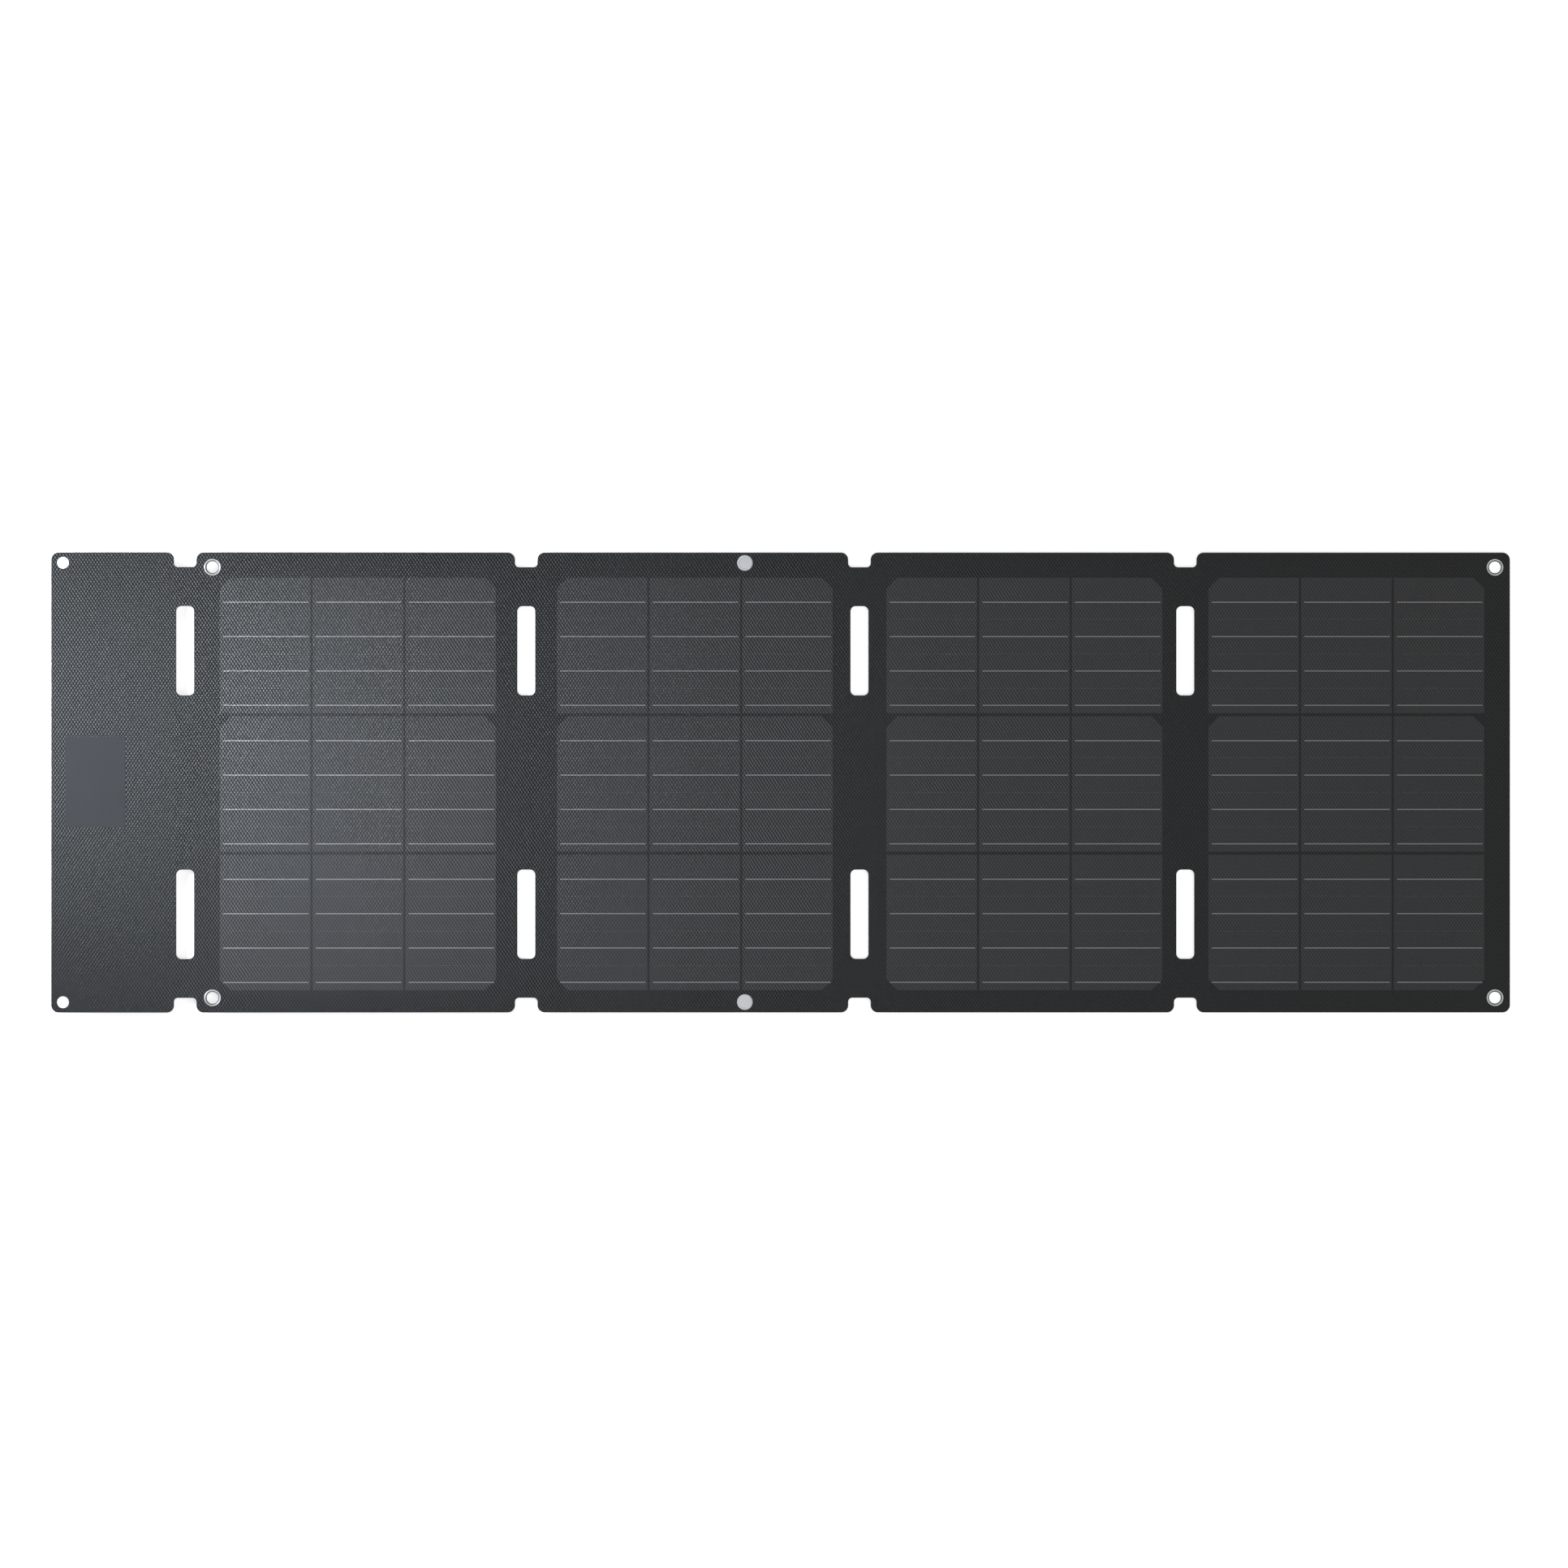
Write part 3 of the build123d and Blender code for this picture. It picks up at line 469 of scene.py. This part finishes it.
def strip_openings():
    """The outlines of every slot and round hole of the strip."""
    loops = [rounded_slot(x, side * SLOT_Y) for x in FOLD_X.values() for side in (-1, 1)]
    loops += [circle(FLAP_HOLE_X, side * SNAP_Y, FLAP_HOLE_RADIUS) for side in (-1, 1)]
    for x in GROMMET_PLACES.values():
        loops += [circle(x, side * GROMMET_Y, GROMMET_HOLE_RADIUS) for side in (-1, 1)]
    return loops


def filled_mesh(loops):
    """A flat mesh, in layout millimetres, of an outline with holes."""
    curve = bpy.data.curves.new("fill", "CURVE")
    curve.dimensions = "2D"
    curve.fill_mode = "BOTH"
    for loop in loops:
        spline = curve.splines.new("POLY")
        spline.points.add(len(loop) - 1)
        for point, (x, y) in zip(spline.points, loop):
            point.co = (x, y, 0, 1)
        spline.use_cyclic_u = True
    holder = bpy.data.objects.new("fill", curve)
    bpy.context.scene.collection.objects.link(holder)
    graph = bpy.context.evaluated_depsgraph_get()
    mesh = bpy.data.meshes.new_from_object(holder.evaluated_get(graph))
    bpy.data.objects.remove(holder)
    bpy.data.curves.remove(curve)
    return mesh


STRIP = filled_mesh([strip_outline()] + strip_openings())


def cut(bm, x, keep=None):
    """Cut a flat mesh across x, and drop one side where keep says which to keep."""
    everything = bm.verts[:] + bm.edges[:] + bm.faces[:]
    bmesh.ops.bisect_plane(
        bm,
        geom=everything,
        dist=1e-5,
        plane_co=(x, 0, 0),
        plane_no=(1, 0, 0),
        clear_outer=keep == "left",
        clear_inner=keep == "right",
    )


def thicken(bm, low, high, open_ends, rounding):
    """Turn a flat mesh at z 0 into a closed plate with a rounded upper rim."""
    bmesh.ops.remove_doubles(bm, verts=bm.verts, dist=SAME)
    for face in bm.faces:
        if face.normal.z < 0:
            face.normal_flip()
    top = bm.faces[:]
    made = bmesh.ops.extrude_face_region(bm, geom=top)
    lifted = [v for v in made["geom"] if isinstance(v, bmesh.types.BMVert)]
    for v in bm.verts:
        v.co.z = low
    for v in lifted:
        v.co.z = high
    bm.normal_update()
    if rounding:
        rim = []
        for edge in bm.edges:
            if len(edge.link_faces) != 2 or any(v.co.z < high - SAME for v in edge.verts):
                continue
            flat = [abs(f.normal.z) > 0.9 for f in edge.link_faces]
            on_cut = any(all(abs(v.co.x - x) < 1e-3 for v in edge.verts) for x in open_ends)
            if sum(flat) == 1 and not on_cut:
                rim.append(edge)
        bmesh.ops.bevel(
            bm, geom=rim, offset=rounding, segments=2, profile=0.5, affect="EDGES",
            clamp_overlap=True,
        )


def settle(bm, name, lay, materials, side_index=0):
    """Make an object of a layout mesh, placed in the row frame, with its layout stored."""
    bm.normal_update()
    for face in bm.faces:
        face.material_index = 0 if face.normal.z > 0.5 else side_index
        face.smooth = False
    points = [v.co.copy() for v in bm.verts]
    mesh = bpy.data.meshes.new(name)
    bm.to_mesh(mesh)
    bm.free()
    stored = mesh.attributes.new("layout", "FLOAT_VECTOR", "POINT")
    for vertex, item, p in zip(mesh.vertices, stored.data, points):
        item.vector = p * MM
        vertex.co = lay.at(*p)
    plane = mesh.uv_layers.new(name="layout_plane")
    for loop in mesh.loops:
        x, y, _ = points[loop.vertex_index]
        plane.data[loop.index].uv = (x * MM, y * MM + 0.5)
    for material in materials:
        mesh.materials.append(material)
    thing = bpy.data.objects.new(name, mesh)
    bpy.context.scene.collection.objects.link(thing)
    return thing


def strip_piece(name, left, right, low, lay, cuts=(), materials=(FILM, FABRIC)):
    """A plate cut from the strip between two layout x values."""
    bm = bmesh.new()
    bm.from_mesh(STRIP)
    ends = []
    if right < LENGTH:
        cut(bm, right, "left")
        ends.append(right)
    if left > 0:
        cut(bm, left, "right")
        ends.append(left)
    for x in cuts:
        cut(bm, x)
    thicken(bm, low, FRONT, ends, EDGE_ROUND)
    return settle(bm, name, lay, materials, side_index=1)


SECTION_ENDS = {
    "flap": (None, "f"),
    "section_1": ("f", "12"),
    "section_2": ("12", "23"),
    "section_3": ("23", "34"),
    "section_4": ("34", None),
}


def skin_span(body):
    """The layout x range of a body's rigid front skin."""
    left_fold, right_fold = SECTION_ENDS[body]
    left = 0.0 if left_fold is None else FOLD_X[left_fold] + BEND_HALF[left_fold]
    if right_fold is None:
        return left, LENGTH
    return left, FOLD_X[right_fold] - BEND_HALF[right_fold]


def make_front_skins():
    for body in SECTION_ENDS:
        tag = body.replace("section_", "")
        left, right = skin_span(body)
        skin = strip_piece(f"front_skin_{tag}", left, right, FILM_BACK, LAYS[body])
        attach(skin, body)
        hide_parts(f"front_film_{tag}")


def make_fold(fold):
    """The strip between two sheets where the panel folds, made as a flat plate cut across into narrow bands."""
    centre = FOLD_X[fold]
    half = BEND_HALF[fold]
    steps = max(FEWEST_CUTS, int(half * CUTS_PER_MM))
    cuts = [centre + half * (2 * i / steps - 1) for i in range(1, steps)]
    lay = FOLD_LAYS[fold]
    piece = strip_piece(
        f"fold_skin_{fold}", centre - half, centre + half, WEB_BACK, lay, cuts
    )
    start = lay.at(centre - half, 0, FRONT)
    end = lay.at(centre + half, 0, FRONT)
    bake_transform(piece)
    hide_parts("fold_web_" + fold, "fold_leads_" + fold)


def plate(bm, points, low, high):
    """Add a closed prism on a convex outline to a layout mesh."""
    upper = [bm.verts.new((x, y, high)) for x, y in points]
    lower = [bm.verts.new((x, y, low)) for x, y in points]
    bm.faces.new(upper)
    bm.faces.new(list(reversed(lower)))
    for i in range(len(points)):
        j = (i + 1) % len(points)
        bm.faces.new((lower[i], lower[j], upper[j], upper[i]))


def bar(left, right, y, width):
    """The outline of a straight bar along x, centred on y."""
    low = y - width / 2
    high = y + width / 2
    return [(left, low), (right, low), (right, high), (left, high)]


def cell_boxes(number):
    """Row, column, left x and top y of each cell piece."""
    for row in range(CELL_ROWS):
        for column in range(CELL_COLUMNS):
            left = BLOCK_LEFT[number] + column * (CELL_SIZE[0] + CELL_GAP[0])
            top = CELL_TOP_Y - row * (CELL_SIZE[1] + CELL_GAP[1])
            yield row, column, left, top


def cell_outline(row, column, left, top):
    """A cell piece's outline, with the one cut corner that the outer pieces have."""
    right = left + CELL_SIZE[0]
    low = top - CELL_SIZE[1]
    c = CELL_CHAMFER
    cut_low = row == CELL_ROWS - 1
    last = CELL_COLUMNS - 1
    corners = {
        "low_left": [(left, low)],
        "low_right": [(right, low)],
        "high_right": [(right, top)],
        "high_left": [(left, top)],
    }
    if column == 0 and cut_low:
        corners["low_left"] = [(left, low + c), (left + c, low)]
    if column == 0 and not cut_low:
        corners["high_left"] = [(left + c, top), (left, top - c)]
    if column == last and cut_low:
        corners["low_right"] = [(right - c, low), (right, low + c)]
    if column == last and not cut_low:
        corners["high_right"] = [(right, top - c), (right - c, top)]
    return [p for key in corners for p in corners[key]]


def make_cells(number):
    """Cell faces, ribbons and their borders, finger lines and solder pads of one section."""
    body = f"section_{number}"
    under = FRONT - CELL_DEPTH
    cells = bmesh.new()
    ribbons = bmesh.new()
    beds = bmesh.new()
    fingers = bmesh.new()
    pads = bmesh.new()
    for row, column, left, top in cell_boxes(number):
        plate(cells, cell_outline(row, column, left, top), under, FRONT + CELL_RAISE)
        first = left + RIBBON_INSET[0]
        last = left + CELL_SIZE[0] - RIBBON_INSET[1]
        for drop in RIBBON_DROPS:
            y = top - drop
            plate(ribbons, bar(first, last, y, RIBBON_WIDTH), under, FRONT + RIBBON_RAISE)
            plate(beds, bar(first, last, y, BED_WIDTH), under, FRONT + BED_RAISE)
        for drop in PAD_DROPS:
            y = top - drop
            if drop != PAD_DROPS[0]:
                plate(fingers, bar(first, last, y, FINGER_WIDTH), under, FRONT + FINGER_RAISE)
            for place in PAD_PLACES:
                x = left + place
                half = PAD_SIZE[0] / 2
                plate(pads, bar(x - half, x + half, y, PAD_SIZE[1]), under, FRONT + PAD_RAISE)
    layers = (
        ("cell_faces", cells, CELL, "silicon", "cells"),
        ("ribbon_lines", ribbons, RIBBON, "tinned_ribbon", "ribbons"),
        ("ribbon_borders", beds, BORDER, "silicon", None),
        ("finger_lines", fingers, FINGER, "tinned_ribbon", None),
        ("solder_pads", pads, PAD, "tinned_ribbon", None),
    )
    for name, mesh, material, slot, replaced in layers:
        piece = settle(mesh, f"{name}_{number}", LAYS[body], (material,))
        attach(piece, body)
        if replaced is not None:
            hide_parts(f"{replaced}_{number}")


def lathe(name, profile, centres, body, materials, shaded_throat=None):
    """A closed profile of (radius, z) points turned about each centre.

    Faces whose middle is between the two radii of the throat get the second material, a darker metal that paints
    shade into the throat.
    """
    bm = bmesh.new()
    for cx, cy in centres:
        rings = []
        for i in range(LATHE_STEPS):
            a = 2 * pi * i / LATHE_STEPS
            rings.append([bm.verts.new((cx + r * cos(a), cy + r * sin(a), z)) for r, z in profile])
        for i in range(LATHE_STEPS):
            here = rings[i]
            after = rings[(i + 1) % LATHE_STEPS]
            for k in range(len(profile)):
                m = (k + 1) % len(profile)
                corners = [here[k], after[k], after[m], here[m]]
                bm.faces.new(corners)
    bmesh.ops.remove_doubles(bm, verts=bm.verts, dist=1e-5)
    bmesh.ops.dissolve_degenerate(bm, edges=bm.edges, dist=1e-6)
    bmesh.ops.recalc_face_normals(bm, faces=bm.faces)
    # Faces in the throat get the dark metal: painted shade.
    in_painted_shade = []
    for face in bm.faces:
        middle = face.calc_center_median()
        radius = min(hypot(middle.x - cx, middle.y - cy) for cx, cy in centres)
        in_painted_shade.append(shaded_throat is not None and shaded_throat[0] < radius < shaded_throat[1])
    thing = settle(bm, name, LAYS[body], materials)
    for face, painted_shade_face in zip(thing.data.polygons, in_painted_shade):
        face.use_smooth = True
        face.material_index = 1 if painted_shade_face else 0
    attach(thing, body)
    return thing


def bead(r0, z0, r1, z1, lift, steps=8):
    """Profile points of a rounded rim from (r0, z0) to (r1, z1), raised by lift."""
    points = []
    for i in range(steps + 1):
        a = pi * i / steps
        t = (1 - cos(a)) / 2
        points.append((r0 + (r1 - r0) * t, z0 + (z1 - z0) * t + lift * sin(a)))
    return points


def make_grommets(number):
    """The two eyelets of one section: a bright rim, a throat darkened with painted shade, and a barrel."""
    body = f"section_{number}"
    centres = [(GROMMET_PLACES[number], side * GROMMET_Y) for side in (-1, 1)]
    front = FRONT + EYELET_LIFT
    shaded_throat = [
        (EYELET_BORE, 1.1),
        (EYELET_BORE, front - 0.9),
        (4.05, front - 0.4),
        (4.35, front - 0.15),
        (4.6, front - 0.1),
    ]
    rim = bead(4.65, front - 0.05, EYELET_RIM, front, EYELET_BEAD)
    barrel = [
        (EYELET_RIM, FRONT - 0.05),
        (4.3, FRONT - 0.05),
        (4.3, 1.3),
        (4.9, 1.25),
        (4.9, 1.0),
        (4.3, 0.9),
    ]
    profile = shaded_throat + rim + barrel
    materials = (EYELET, THROAT_SHADE_METAL)
    eyelet = lathe(f"eyelets_{number}", profile, centres, body, materials, EYELET_SHADE_RADII)
    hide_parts(f"grommets_{number}")


def make_snap_caps():
    """Low domed caps with a rounded edge, each on a stem."""
    centres = [(SNAP_X, side * SNAP_Y) for side in (-1, 1)]
    dome = [(0, FRONT + 0.5), (2.0, FRONT + 0.49), (3.4, FRONT + 0.45)]
    rim = bead(3.9, FRONT + 0.42, SNAP_RADIUS, FRONT, SNAP_BEAD)
    stem = [
        (SNAP_RADIUS - 0.05, FRONT - 0.1),
        (SNAP_STEM_RADIUS, FRONT - 0.1),
        (SNAP_STEM_RADIUS, 0.5),
        (0, 0.5),
    ]
    cap = lathe("snap_cap_faces", dome + rim + stem, centres, "section_2", (CAP,))
    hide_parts("snap_caps")


# ---------------------------------------------------------------- stage


def make_floor():
    """A white floor that glows a little, so that it stays plain and pale."""
    nodes = Nodes("floor")
    nodes.set(Base_Color=FLOOR_COLOR, Roughness=0.9)
    nodes.shader.inputs["Emission Color"].default_value = (1, 1, 1, 1)
    nodes.shader.inputs["Emission Strength"].default_value = FLOOR_GLOW
    mesh = bpy.data.meshes.new("floor")
    s = FLOOR_HALF_SIZE
    mesh.from_pydata([(-s, -s, 0), (s, -s, 0), (s, s, 0), (-s, s, 0)], [], [(0, 1, 2, 3)])
    mesh.materials.append(nodes.material)
    floor = bpy.data.objects.new("floor", mesh)
    floor.location.z = -FLOOR_DROP
    bpy.context.scene.collection.objects.link(floor)


def area_light(name, place, target, size, power, color=(1, 1, 1)):
    """A rectangular light, in watts and metres, aimed at a target and hidden from view."""
    data = bpy.data.lights.new(name, "AREA")
    data.shape = "RECTANGLE"
    data.size, data.size_y = size
    data.energy = power
    data.color = color
    lamp = bpy.data.objects.new(name, data)
    lamp.location = place
    aim = Vector(target) - Vector(place)
    lamp.rotation_mode = "QUATERNION"
    lamp.rotation_quaternion = aim.to_track_quat("-Z", "Y")
    lamp.visible_camera = False
    bpy.context.scene.collection.objects.link(lamp)
    return data


def make_lights():
    """A small cool key low beside the flap, whose light fades along the strip, and two fills."""
    world = bpy.data.worlds.new("studio")
    bpy.context.scene.world = world
    world.use_nodes = True
    background = world.node_tree.nodes["Background"]
    background.inputs["Color"].default_value = (1, 1, 1, 1)
    background.inputs["Strength"].default_value = WORLD_GLOW
    key_size = (0.20, 0.60)
    key_color = (0.84, 0.92, 1.0)
    key = area_light("key", (-0.88, 0.10, 0.27), (-0.60, 0.05, 0.0), key_size, 1.55, key_color)
    key.spread = radians(62)
    area_light("top_left", (-0.6, 1.4, 1.6), (0, 0, 0), (1.6, 0.8), 4.5)
    area_light("fill", (0.7, -0.5, 2.4), (0.1, 0, 0), (1.8, 1.5), 19.5)


def make_camera():
    """Straight above the strip, far away, with the whole strip across the frame."""
    data = bpy.data.cameras.new("camera")
    data.sensor_width = SENSOR
    data.lens = SENSOR * CAMERA_DISTANCE / VIEW_WIDTH
    data.clip_end = 50.0
    camera = bpy.data.objects.new("camera", data)
    camera.location = CAMERA_PLACE
    bpy.context.scene.collection.objects.link(camera)
    bpy.context.scene.camera = camera


dress_cad_nodes()
make_front_skins()
make_fold("f")
make_fold("12")
make_fold("23")
make_fold("34")
for section in BLOCK_LEFT:
    make_cells(section)
for section in GROMMET_PLACES:
    make_grommets(section)
make_snap_caps()
make_floor()
make_lights()
make_camera()
bpy.context.scene.view_settings.view_transform = "Standard"
